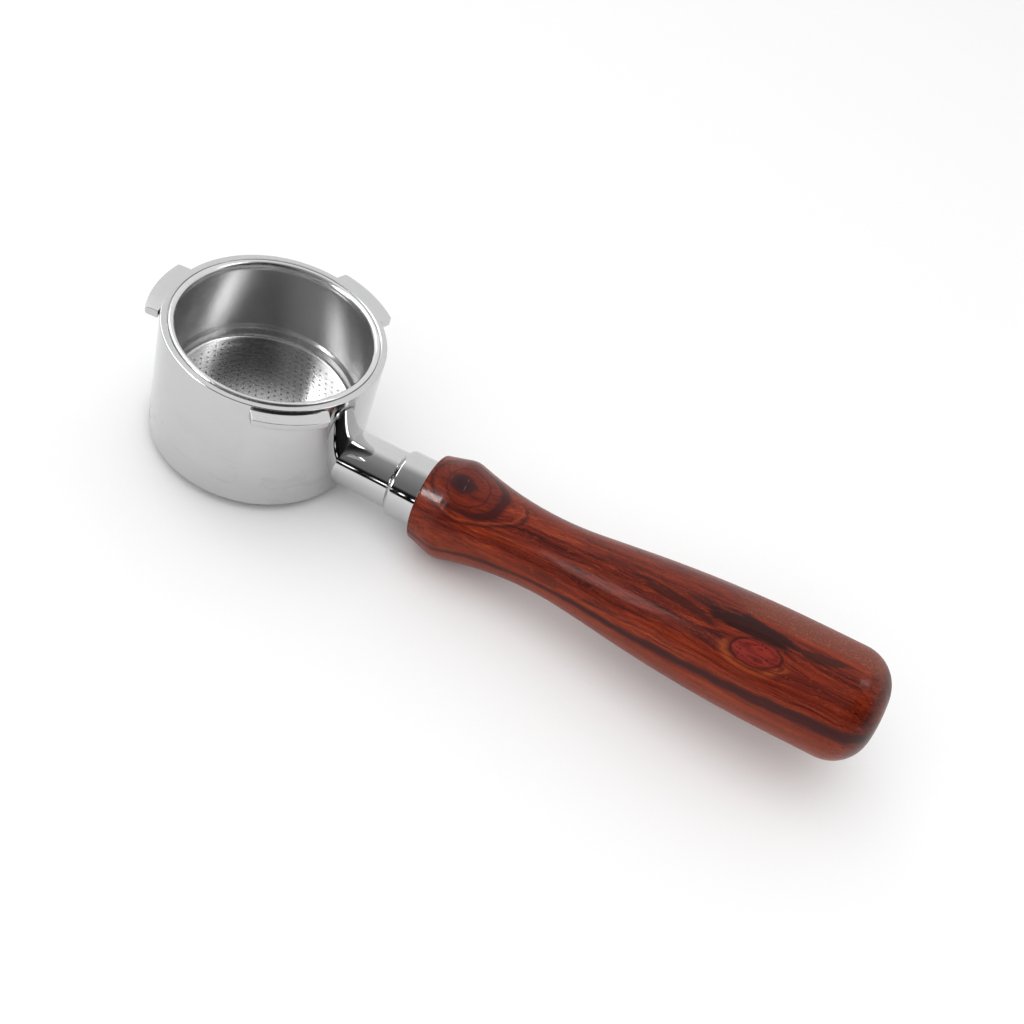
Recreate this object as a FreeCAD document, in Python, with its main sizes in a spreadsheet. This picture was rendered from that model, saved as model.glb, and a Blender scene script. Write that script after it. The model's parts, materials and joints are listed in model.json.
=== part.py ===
"""Bottomless portafilter for an espresso machine of the 54 mm class.

A turned steel ring with three bayonet lugs holds a perforated filter basket.
A round neck is brazed to the ring and carries a stud, and a turned hardwood
handle with a brass insert screws onto the stud against a loose collar.

Frame: millimetres, +Z up, origin at the centre of the ring's foot, and the
handle runs towards +X.  The handle, its collar, the stud and the neck share
one axis, which leaves the ring's axis at height axis_height and climbs by
handle_tilt.  Lengths named "..._at" are measured along that axis from the
ring's axis.
"""
import FreeCAD, Part
import math
import os
import re
import Sketcher

from FreeCAD import Placement, Rotation, Vector

SIZES = {
    # ring
    "ring_height": 38.2,
    "ring_top_radius": 31.0,
    "ring_foot_radius": 30.6,
    "ring_bore_radius": 28.2,
    "foot_edge": 0.5,
    "rim_edge": 0.3,
    "rim_ease_width": 1.05,
    "rim_ease_radius": 3.0,
    "seat_radius": 29.15,
    "seat_depth": 0.75,
    # bayonet lugs
    "lug_radius": 35.1,
    "lug_drop": 0.9,
    "lug_thickness": 2.4,
    "lug_round": 0.8,
    "lug_half_width": 10.4,
    "lug_corner": 0.7,
    "lug_phase": 70.3,
    "lug_count": 3,
    # retaining spring and its groove
    "spring_wire_radius": 0.6,
    "spring_radius": 28.15,
    "spring_drop": 1.9,
    "spring_start": 100.0,
    "spring_sweep": 330.0,
    "spring_groove_radius": 29.45,
    "spring_groove_height": 1.3,
    # filter basket
    "basket_radius": 27.05,
    "basket_sheet": 0.6,
    "basket_lip_radius": 28.95,
    "basket_lip_proud": 0.15,
    "basket_lip_round": 0.6,
    "basket_lip_bend": 1.2,
    "bead_half": 0.7,
    "bead_depth": 0.22,
    "shoulder_height": 15.2,
    "shoulder_drop": 1.0,
    "floor_wall_radius": 26.3,
    "floor_height": 11.0,
    "floor_corner": 1.0,
    "hole_radius": 0.3,
    "hole_pitch": 2.1,
    "hole_field_radius": 24.2,
    # handle axis
    "axis_height": 5.8,
    "handle_tilt": 5.3,
    # neck and stud
    "neck_radius": 8.6,
    "neck_end_at": 46.8,
    "neck_chamfer": 0.5,
    "spigot_radius": 5.5,
    "spigot_from_at": 29.4,
    "spigot_to_at": 36.0,
    "stud_radius": 4.95,
    "stud_from_at": 37.0,
    "stud_end_at": 71.4,
    "stud_chamfer": 0.9,
    # collar
    "collar_radius": 10.0,
    "collar_bore_radius": 5.1,
    "collar_end_at": 56.4,
    "collar_round": 1.4,
    "collar_chamfer": 0.3,
    # insert
    "insert_radius": 7.5,
    "insert_bore_radius": 5.0,
    "insert_end_at": 77.4,
    "insert_mouth": 0.6,
    # wooden handle
    "wood_edge": 0.8,
    "cone_angle": 15.0,
    "ridge_round": 6.0,
    "ridge_back_angle": 15.5,
    "sweep_radius": 100.0,
    "waist_radius": 10.95,
    "waist_at": 93.5,
    "flare_angle": 6.9,
    "flare_length": 13.0,
    "swell_radius": 420.0,
    "butt_corner": 11.0,
    "butt_dome": 48.0,
    "butt_at": 193.2,
    "pilot_radius": 5.5,
    "pilot_end_at": 84.0,
    "pilot_tip": 3.2,
}

RING_SLOPE = "(ring_top_radius - ring_foot_radius) / ring_height"
ALIAS = re.compile(r"\b(" + "|".join(sorted(SIZES, key=len, reverse=True)) + r")\b")

doc = FreeCAD.newDocument("portafilter")
sheet = doc.addObject("Spreadsheet::Sheet", "Sizes")
for row, (alias, size) in enumerate(SIZES.items(), start=1):
    sheet.set(f"A{row}", alias)
    sheet.set(f"B{row}", str(size))
    sheet.setAlias(f"B{row}", alias)
doc.recompute()


# ---------------------------------------------------------------- helpers
def bound(formula):
    """A formula in size names, written so that the document can evaluate it."""
    return ALIAS.sub(r"Sizes.\1", str(formula))


def number(formula):
    """The present value of a formula in size names, as a plain float."""
    result = sheet.evalExpression(bound(formula))
    return float(getattr(result, "Value", result))


def bind(thing, prop, formula):
    """Tie one property of a document object to a formula."""
    thing.setExpression(prop, bound(formula))


def new_body(label):
    """An empty PartDesign body with its label."""
    body = doc.addObject("PartDesign::Body", label)
    body.Label = label
    return body


def new_sketch(body, name, plane_name="XZ_Plane"):
    """A sketch on a plane of the body; on XZ its x is the radius and its y the axis."""
    sketch = body.newObject("Sketcher::SketchObject", name)
    plane = next(f for f in body.Origin.OriginFeatures if f.Role == plane_name)
    sketch.AttachmentSupport = [(plane, "")]
    sketch.MapMode = "FlatFace"
    return sketch


def arc_between(start, end, radius, side):
    """The short arc from start to end; side +1 curves to the left, -1 to the right."""
    chord = end - start
    half = chord.Length / 2.0
    reach = math.sqrt(max(radius * radius - half * half, 0.0))
    left = Vector(-chord.y, chord.x, 0).normalize()
    centre = (start + end) / 2.0 + left * (side * reach)
    first = math.atan2(start.y - centre.y, start.x - centre.x)
    last = math.atan2(end.y - centre.y, end.x - centre.x)
    if side < 0:
        first, last = last, first
    circle = Part.Circle(centre, Vector(0, 0, 1), radius)
    return Part.ArcOfCircle(circle, first, last)


def draw_outline(sketch, points, arcs=None):
    """Draw a closed outline and bind it to the sheet.

    points are (x, y) formulas.  arcs maps the index of a point to (radius
    formula, side) for a side that is an arc to the next point, +1 where it
    curves to the left of the way round and -1 where it curves to the right.
    """
    arcs = arcs or {}
    spots = [Vector(number(x), number(y), 0) for x, y in points]
    ends = []
    for i, spot in enumerate(spots):
        following = spots[(i + 1) % len(spots)]
        if i in arcs:
            radius, side = arcs[i]
            geo = sketch.addGeometry(arc_between(spot, following, number(radius), side))
            bind_constraint(sketch, Sketcher.Constraint("Radius", geo, number(radius)), radius)
            ends.append((geo, 1, 2) if side > 0 else (geo, 2, 1))
        else:
            geo = sketch.addGeometry(Part.LineSegment(spot, following))
            ends.append((geo, 1, 2))
    for i, (geo, start, end) in enumerate(ends):
        next_geo, next_start, _ = ends[(i + 1) % len(ends)]
        sketch.addConstraint(Sketcher.Constraint("Coincident", geo, end, next_geo, next_start))
    origin = (-1, 1)
    for (geo, start, _), (x, y) in zip(ends, points):
        for kind, formula in (("DistanceX", x), ("DistanceY", y)):
            rule = Sketcher.Constraint(kind, *origin, geo, start, number(formula))
            bind_constraint(sketch, rule, formula)


def bind_constraint(sketch, rule, formula):
    """Add a dimension to a sketch and tie it to a formula."""
    index = sketch.addConstraint(rule)
    if formula != "0":
        bind(sketch, f"Constraints[{index}]", formula)


def turned(label, points, arcs=None):
    """A body turned from one outline about its own Z axis."""
    body = new_body(label)
    sketch = new_sketch(body, f"{label}_outline")
    draw_outline(sketch, points, arcs)
    turning = body.newObject("PartDesign::Revolution", f"{label}_turning")
    turning.Profile = sketch
    turning.ReferenceAxis = (sketch, ["V_Axis"])
    turning.Angle = 360
    body.Tip = turning
    return body


def on_handle_axis(thing):
    """Place a turned piece so that its own Z axis is the handle axis."""
    thing.Placement = Placement(Vector(0, 0, 1), Rotation(Vector(0, 1, 0), 45))
    bind(thing, ".Placement.Rotation.Angle", "90 - handle_tilt")
    bind(thing, ".Placement.Base.z", "axis_height")


def rod(name, radius, start, end):
    """A plain cylinder on the handle axis between two distances along it."""
    cylinder = doc.addObject("Part::Cylinder", name)
    bind(cylinder, "Radius", radius)
    bind(cylinder, "Height", f"{end} - {start}")
    cylinder.Placement = Placement(Vector(1, 0, 1), Rotation(Vector(0, 1, 0), 45))
    bind(cylinder, ".Placement.Rotation.Angle", "90 - handle_tilt")
    bind(cylinder, ".Placement.Base.x", f"{start} * cos(handle_tilt)")
    bind(cylinder, ".Placement.Base.z", f"axis_height + {start} * sin(handle_tilt)")
    return cylinder


def combine(kind, label, base, tool):
    """A Part boolean of two objects."""
    result = doc.addObject(kind, label)
    result.Label = label
    result.Base = base
    result.Tool = tool
    return result


# ---------------------------------------------------------------- sub-parts
def make_ring_wall():
    """The turned wall of the ring, with its eased rim, basket seat and spring groove."""
    groove_top = "ring_height - spring_drop + spring_groove_height / 2"
    groove_foot = "ring_height - spring_drop - spring_groove_height / 2"
    ease_drop = "(rim_ease_radius - sqrt(rim_ease_radius^2 - rim_ease_width^2))"
    return turned("ring_wall", [
        ("ring_bore_radius + foot_edge", "0"),
        ("ring_foot_radius - foot_edge", "0"),
        (f"ring_foot_radius + foot_edge * {RING_SLOPE}", "foot_edge"),
        (f"ring_top_radius - rim_edge * {RING_SLOPE}", "ring_height - rim_edge"),
        ("ring_top_radius - rim_edge", "ring_height"),
        ("seat_radius + rim_ease_width", "ring_height"),
        ("seat_radius", f"ring_height - {ease_drop}"),
        ("seat_radius", "ring_height - seat_depth"),
        ("ring_bore_radius", "ring_height - seat_depth"),
        ("ring_bore_radius", groove_top),
        ("spring_groove_radius", groove_top),
        ("spring_groove_radius", groove_foot),
        ("ring_bore_radius", groove_foot),
        ("ring_bore_radius", "foot_edge"),
    ], arcs={3: ("rim_edge", 1), 5: ("rim_ease_radius", 1)})


def make_lugs():
    """The bayonet lugs: a disc with a rounded lower edge, cut to parallel-sided arms."""
    lug_foot = "ring_height - lug_drop - lug_thickness"
    lug_top = "ring_height - lug_drop"
    # The lugs start inside the wall, clear of the spring groove.
    root = "(spring_groove_radius + ring_foot_radius) / 2"
    disc = turned("lug_disc", [
        (root, lug_foot),
        ("lug_radius - lug_round", lug_foot),
        ("lug_radius", f"{lug_foot} + lug_round"),
        ("lug_radius", lug_top),
        (root, lug_top),
    ], arcs={1: ("lug_round", 1)})

    # One arm in plan, from the ring's axis outwards, with its outer corners rounded.
    corner_y = "(lug_half_width - lug_corner)"
    corner_x = f"sqrt((lug_radius - lug_corner)^2 - {corner_y}^2)"
    reach = "lug_radius / (lug_radius - lug_corner)"
    star = new_body("lug_star")
    plan = new_sketch(star, "lug_plan", "XY_Plane")
    draw_outline(plan, [
        ("0", "-lug_half_width"),
        (corner_x, "-lug_half_width"),
        (f"{corner_x} * {reach}", f"-{corner_y} * {reach}"),
        (f"{corner_x} * {reach}", f"{corner_y} * {reach}"),
        (corner_x, "lug_half_width"),
        ("0", "lug_half_width"),
    ], arcs={1: ("lug_corner", 1), 2: ("lug_radius", 1), 3: ("lug_corner", 1)})
    arm = star.newObject("PartDesign::Pad", "lug_arm")
    arm.Profile = plan
    bind(arm, "Length", "lug_thickness")
    doc.recompute()
    arms = star.newObject("PartDesign::PolarPattern", "lug_arms")
    arms.Originals = [arm]
    arms.Axis = (plan, ["N_Axis"])
    arms.Angle = 360
    bind(arms, "Occurrences", "lug_count")
    star.Tip = arms
    star.Placement = Placement(Vector(0, 0, 1), Rotation(Vector(0, 0, 1), 45))
    bind(star, ".Placement.Rotation.Angle", "lug_phase")
    bind(star, ".Placement.Base.z", lug_foot)
    return combine("Part::Common", "lugs", disc, star)


def make_cup_ring():
    """The open-bottomed ring with its three lugs and the socket for the neck's spigot."""
    ring = combine("Part::Fuse", "ring_with_lugs", make_ring_wall(), make_lugs())
    socket = rod("neck_socket", "spigot_radius", "spigot_from_at", "spigot_to_at")
    return combine("Part::Cut", "cup_ring", ring, socket)


def make_basket_spring():
    """The round-wire spring that lies in the ring's groove, open at one side."""
    spring = doc.addObject("Part::Torus", "basket_spring")
    spring.Label = "basket_spring"
    bind(spring, "Radius1", "spring_radius")
    bind(spring, "Radius2", "spring_wire_radius")
    bind(spring, "Angle3", "spring_sweep")
    spring.Placement = Placement(Vector(0, 0, 1), Rotation(Vector(0, 0, 1), 45))
    bind(spring, ".Placement.Rotation.Angle", "spring_start")
    bind(spring, ".Placement.Base.z", "ring_height - spring_drop")
    return spring


def make_perforation():
    """One pin for each hole in the basket's floor, on a staggered grid.

    Each pin stands proud of the floor by the sheet's thickness on both sides.
    """
    pitch = number("hole_pitch")
    row_step = pitch * math.sqrt(3) / 2
    limit = number("hole_field_radius")
    radius = number("hole_radius")
    foot = number("floor_height - 2 * basket_sheet")
    tall = number("3 * basket_sheet")
    rows = int(limit / row_step)
    columns = int(limit / pitch) + 1
    pins = []
    for row in range(-rows, rows + 1):
        shift = pitch / 2 if row % 2 else 0.0
        for column in range(-columns, columns + 1):
            x = column * pitch + shift
            y = row * row_step
            if math.hypot(x, y) <= limit:
                pins.append(Part.makeCylinder(radius, tall, Vector(x, y, foot)))
    perforation = doc.addObject("Part::Feature", "perforation")
    perforation.Shape = Part.makeCompound(pins)
    return perforation


def make_filter_basket():
    """The drawn sheet basket: rolled lip, retaining bead, shoulder and pierced floor.

    The bead is pressed inwards level with the spring, which snaps into it from outside.
    """
    inner = "basket_radius"
    outer = "basket_radius + basket_sheet"
    lip_top = "ring_height + basket_lip_proud"
    seat = "ring_height - seat_depth"
    bead_top = "ring_height - spring_drop + bead_half"
    bead_foot = "ring_height - spring_drop - bead_half"
    bead_arc = "((bead_half^2 + bead_depth^2) / (2 * bead_depth))"
    low_outer = "floor_wall_radius + basket_sheet"
    outer_corner = "(floor_corner + basket_sheet)"
    body = turned("basket_blank", [
        (inner, f"{lip_top} - basket_lip_bend"),
        (inner, bead_top),
        (inner, bead_foot),
        (inner, "shoulder_height"),
        ("floor_wall_radius", "shoulder_height - shoulder_drop"),
        ("floor_wall_radius", "floor_height + floor_corner"),
        ("floor_wall_radius - floor_corner", "floor_height"),
        ("0", "floor_height"),
        ("0", "floor_height - basket_sheet"),
        (f"{low_outer} - {outer_corner}", "floor_height - basket_sheet"),
        (low_outer, f"floor_height - basket_sheet + {outer_corner}"),
        (low_outer, "shoulder_height - shoulder_drop"),
        (outer, "shoulder_height"),
        (outer, bead_foot),
        (outer, bead_top),
        (outer, seat),
        ("basket_lip_radius", seat),
        ("basket_lip_radius", f"{lip_top} - basket_lip_round"),
        ("basket_lip_radius - basket_lip_round", lip_top),
        (f"{inner} + basket_lip_bend", lip_top),
    ], arcs={
        1: (bead_arc, 1),
        5: ("floor_corner", -1),
        9: (outer_corner, 1),
        13: (bead_arc, -1),
        17: ("basket_lip_round", 1),
        19: ("basket_lip_bend", 1),
    })
    return combine("Part::Cut", "filter_basket", body, make_perforation())


def make_neck():
    """The round neck, coped to the ring's wall, with a spigot and a stud hole."""
    shaft = turned("neck_shaft", [
        ("0", "spigot_from_at - neck_radius"),
        ("neck_radius", "spigot_from_at - neck_radius"),
        ("neck_radius", "neck_end_at - neck_chamfer"),
        ("neck_radius - neck_chamfer", "neck_end_at"),
        ("stud_radius", "neck_end_at"),
        ("stud_radius", "stud_from_at"),
        ("0", "stud_from_at"),
    ])
    on_handle_axis(shaft)
    # The ring's outer surface, carried on below its foot to clear the whole shaft.
    envelope = doc.addObject("Part::Cone", "ring_envelope")
    envelope.Placement = Placement(Vector(0, 0, -1), Rotation())
    bind(envelope, ".Placement.Base.z", "-neck_radius")
    bind(envelope, "Radius1", f"ring_foot_radius - neck_radius * {RING_SLOPE}")
    bind(envelope, "Radius2", "ring_top_radius")
    bind(envelope, "Height", "ring_height + neck_radius")
    coped = combine("Part::Cut", "coped_neck", shaft, envelope)
    spigot = rod("neck_spigot", "spigot_radius", "spigot_from_at", "spigot_to_at")
    return combine("Part::Fuse", "neck", coped, spigot)


def make_stud():
    """The steel stud fixed in the neck, which the handle screws onto."""
    stud = turned("handle_stud", [
        ("0", "stud_from_at"),
        ("stud_radius", "stud_from_at"),
        ("stud_radius", "stud_end_at - stud_chamfer"),
        ("stud_radius - stud_chamfer", "stud_end_at"),
        ("0", "stud_end_at"),
    ])
    on_handle_axis(stud)
    return stud


def make_collar():
    """The loose collar between the neck and the wood, with a rounded front edge."""
    collar = turned("collar", [
        ("collar_bore_radius", "neck_end_at"),
        ("collar_radius - collar_round", "neck_end_at"),
        ("collar_radius", "neck_end_at + collar_round"),
        ("collar_radius", "collar_end_at - collar_chamfer"),
        ("collar_radius - collar_chamfer", "collar_end_at"),
        ("collar_bore_radius", "collar_end_at"),
    ], arcs={1: ("collar_round", 1)})
    on_handle_axis(collar)
    return collar


def make_insert():
    """The brass insert glued into the handle, which holds the thread."""
    insert = turned("threaded_insert", [
        ("insert_bore_radius + insert_mouth", "collar_end_at"),
        ("insert_radius", "collar_end_at"),
        ("insert_radius", "insert_end_at"),
        ("insert_bore_radius", "insert_end_at"),
        ("insert_bore_radius", "collar_end_at + insert_mouth"),
    ])
    on_handle_axis(insert)
    return insert


def make_wood_handle():
    """The turned handle: front cone, soft ridge, waist, long flare and domed butt.

    Each arc meets its neighbours at a shared slope, so every joint is smooth.
    """
    # End of the ridge's back slope, on the sweep that leads down to the waist.
    back_at = "(waist_at - sweep_radius * sin(ridge_back_angle))"
    back_radius = "(waist_radius + sweep_radius * (1 - cos(ridge_back_angle)))"
    # Centre of the ridge's rounding, and where the front cone meets it.
    crest_at = f"({back_at} - ridge_round * sin(ridge_back_angle))"
    crest_radius = f"({back_radius} - ridge_round * cos(ridge_back_angle))"
    cone_end_at = f"({crest_at} - ridge_round * sin(cone_angle))"
    cone_end_radius = f"({crest_radius} + ridge_round * cos(cone_angle))"
    edge_at = "(collar_end_at + wood_edge)"
    edge_radius = f"({cone_end_radius} - ({cone_end_at} - {edge_at}) * tan(cone_angle))"
    # Straight part of the flare behind the waist, then the long swell.
    flare_at = "(waist_at + sweep_radius * sin(flare_angle))"
    flare_radius = "(waist_radius + sweep_radius * (1 - cos(flare_angle)))"
    swell_at = f"({flare_at} + flare_length)"
    swell_start = f"({flare_radius} + flare_length * tan(flare_angle))"
    widest_at = f"({swell_at} + swell_radius * sin(flare_angle))"
    widest = f"({swell_start} + swell_radius * (1 - cos(flare_angle)))"
    # Corner of the butt, tangent to the side and to the dome.
    dome_at = "(butt_at - butt_dome)"
    corner_radius = f"({widest} - butt_corner)"
    corner_at = f"({dome_at} + sqrt((butt_dome - butt_corner)^2 - {corner_radius}^2))"
    reach = "(butt_dome / (butt_dome - butt_corner))"
    dome_edge_at = f"({dome_at} + ({corner_at} - {dome_at}) * {reach})"
    dome_edge_radius = f"({corner_radius} * {reach})"
    handle = turned("wood_handle", [
        ("insert_radius", "collar_end_at"),
        (f"{edge_radius} - wood_edge", "collar_end_at"),
        (edge_radius, edge_at),
        (cone_end_radius, cone_end_at),
        (back_radius, back_at),
        ("waist_radius", "waist_at"),
        (flare_radius, flare_at),
        (swell_start, swell_at),
        (widest, widest_at),
        (widest, corner_at),
        (dome_edge_radius, dome_edge_at),
        ("0", "butt_at"),
        ("0", "pilot_end_at + pilot_tip"),
        ("pilot_radius", "pilot_end_at"),
        ("pilot_radius", "insert_end_at"),
        ("insert_radius", "insert_end_at"),
    ], arcs={
        1: ("wood_edge", 1),
        3: ("ridge_round", 1),
        4: ("sweep_radius", -1),
        5: ("sweep_radius", -1),
        7: ("swell_radius", 1),
        9: ("butt_corner", 1),
        10: ("butt_dome", 1),
    })
    on_handle_axis(handle)
    return handle


# ---------------------------------------------------------------- check and write
def check_document():
    """Stop if any object failed to compute."""
    for thing in doc.Objects:
        failed = [state for state in thing.State if state in ("Invalid", "Error")]
        if failed:
            raise RuntimeError(f"{thing.Label} failed: {thing.State}")


def write_parts(parts):
    """Write each sub-part's solid to its own STEP file."""
    os.makedirs("parts", exist_ok=True)
    for part in parts:
        shape = part.Shape
        if shape.isNull() or not shape.isValid() or len(shape.Solids) != 1:
            raise RuntimeError(f"{part.Label} is not one valid solid")
    for part in parts:
        part.Shape.exportStep(f"parts/{part.Label}.step")
        box = part.Shape.BoundBox
        print(f"{part.Label:16s} {part.Shape.Volume:10.1f} mm3  "
              f"x {box.XMin:.2f} {box.XMax:.2f}  y {box.YMin:.2f} {box.YMax:.2f}  "
              f"z {box.ZMin:.2f} {box.ZMax:.2f}")


sub_parts = [
    make_cup_ring(),
    make_basket_spring(),
    make_filter_basket(),
    make_neck(),
    make_stud(),
    make_collar(),
    make_insert(),
    make_wood_handle(),
]
doc.recompute()
check_document()
write_parts(sub_parts)
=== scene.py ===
"""Looks of the bottomless portafilter: materials, finer turned pieces, studio and camera."""

import json
import math

import bpy
from mathutils import Matrix, Vector
from mathutils.geometry import delaunay_2d_cdt


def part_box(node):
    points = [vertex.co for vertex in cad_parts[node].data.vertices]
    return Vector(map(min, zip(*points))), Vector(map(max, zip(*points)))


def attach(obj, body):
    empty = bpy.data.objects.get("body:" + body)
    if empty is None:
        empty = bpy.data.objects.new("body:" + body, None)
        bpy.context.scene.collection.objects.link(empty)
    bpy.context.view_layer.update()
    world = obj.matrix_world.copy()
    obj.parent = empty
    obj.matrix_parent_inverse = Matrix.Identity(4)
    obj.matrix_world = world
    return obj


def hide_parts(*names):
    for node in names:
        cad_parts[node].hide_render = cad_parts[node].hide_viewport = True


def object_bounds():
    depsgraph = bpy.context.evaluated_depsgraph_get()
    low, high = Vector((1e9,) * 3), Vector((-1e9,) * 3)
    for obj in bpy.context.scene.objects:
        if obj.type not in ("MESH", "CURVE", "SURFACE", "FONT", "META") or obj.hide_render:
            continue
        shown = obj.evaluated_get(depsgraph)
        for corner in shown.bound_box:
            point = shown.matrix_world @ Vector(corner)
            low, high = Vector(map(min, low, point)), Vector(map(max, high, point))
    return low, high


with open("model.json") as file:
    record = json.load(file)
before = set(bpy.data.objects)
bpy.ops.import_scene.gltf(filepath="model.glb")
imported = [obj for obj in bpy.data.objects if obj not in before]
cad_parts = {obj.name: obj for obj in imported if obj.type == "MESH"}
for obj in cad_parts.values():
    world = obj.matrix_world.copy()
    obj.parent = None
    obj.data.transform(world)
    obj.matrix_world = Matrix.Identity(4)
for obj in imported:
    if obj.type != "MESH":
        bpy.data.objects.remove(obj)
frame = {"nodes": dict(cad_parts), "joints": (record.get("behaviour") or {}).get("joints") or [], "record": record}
cad_low, cad_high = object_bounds()

MM = 0.001

# ---------------------------------------------------------------- handle axis
turn_joint = next(j for j in frame["joints"] if j["name"] == "handle_turn")
AXIS = Vector(turn_joint["axis"]).normalized()
AXIS_FOOT = Vector(turn_joint["pos_m"])
TILT = math.atan2(AXIS.z, AXIS.x)

# ---------------------------------------------------------------- sizes, in millimetres
_, ring_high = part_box("cup_ring")
basket_low, basket_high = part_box("filter_basket")
_, collar_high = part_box("collar")
basket_bore = next(m for m in frame["record"]["mounts"] if m["name"] == "basket_bore")

RING_HEIGHT = ring_high.z / MM
RING_FOOT_RADIUS = 30.6
RING_TOP_RADIUS = 31.0
RING_BORE = 28.2
SEAT_RADIUS = 29.15
SEAT_DEPTH = 0.75
GROOVE_RADIUS = 29.45
GROOVE_MIDDLE = RING_HEIGHT - 1.9
GROOVE_HALF = 0.65

LUG_COUNT = 3
LUG_PHASE = 70.3
LUG_RADIUS = 35.1
LUG_HALF_WIDTH = 10.4
LUG_ROOT = 29.8
LUG_CORNER = 0.7
LUG_TOP = RING_HEIGHT - 0.9
LUG_FOOT = LUG_TOP - 2.4

SHEET = 0.6
BASKET_RADIUS = basket_bore["dims"]["r_mm"]
BASKET_FOOT_RADIUS = BASKET_RADIUS - 0.75
FLOOR_HEIGHT = basket_low.z / MM + SHEET
PIERCED_RADIUS = 25.2
HOLE_RADIUS = 0.3
HOLE_SIDES = 14
HOLE_PITCH = 2.1
HOLE_ROW_STEP = HOLE_PITCH * math.sqrt(3) / 2
HOLE_FIELD = 24.2
LIP_RADIUS = basket_high.x / MM
LIP_TOP = basket_high.z / MM

NECK_START = 29.3
NECK_END = 46.8
NECK_RADIUS = 8.6
NECK_BORE = 4.95
COLLAR_END = 56.4
COLLAR_RADIUS = collar_high.y / MM
COLLAR_BORE = 5.1

# The wood's marks lie at (distance along the handle, distance round it from its front line).
# The distance round is an angle times this radius.
MARK_RADIUS = 15.0
GRAIN_TURN = math.radians(44.4)
FRONT_KNOT = (68.3, 9.4)
FRONT_CORE = (66.6, 8.2)
REAR_KNOT = (156.6, 1.5)

# ---------------------------------------------------------------- camera
CAMERA_AZIMUTH = math.radians(10.0)
CAMERA_ELEVATION = math.radians(45.75)
CAMERA_ROLL = math.radians(22.82)
CAMERA_DISTANCE = 0.39425
CAMERA_AIM = Vector((0.07938, 0.00282, 0.01943))
CAMERA_LENS = 50.06


def make_camera():
    """The camera, above the object and in front of it, rolled about its line of sight."""
    across, out = math.sin(CAMERA_AZIMUTH), math.cos(CAMERA_AZIMUTH)
    flat, rise = math.cos(CAMERA_ELEVATION), math.sin(CAMERA_ELEVATION)
    back = Vector((across * flat, -out * flat, rise))
    right = Vector((out, across, 0.0))
    up = back.cross(right)
    rolled_right = right * math.cos(CAMERA_ROLL) + up * math.sin(CAMERA_ROLL)
    rolled_up = up * math.cos(CAMERA_ROLL) - right * math.sin(CAMERA_ROLL)
    turn = Matrix((rolled_right, rolled_up, back)).transposed().to_4x4()
    data = bpy.data.cameras.new("camera")
    data.lens = CAMERA_LENS
    data.clip_start = 0.01
    camera = bpy.data.objects.new("camera", data)
    camera.matrix_world = Matrix.Translation(CAMERA_AIM + back * CAMERA_DISTANCE) @ turn
    bpy.context.scene.collection.objects.link(camera)
    bpy.context.scene.camera = camera


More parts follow.
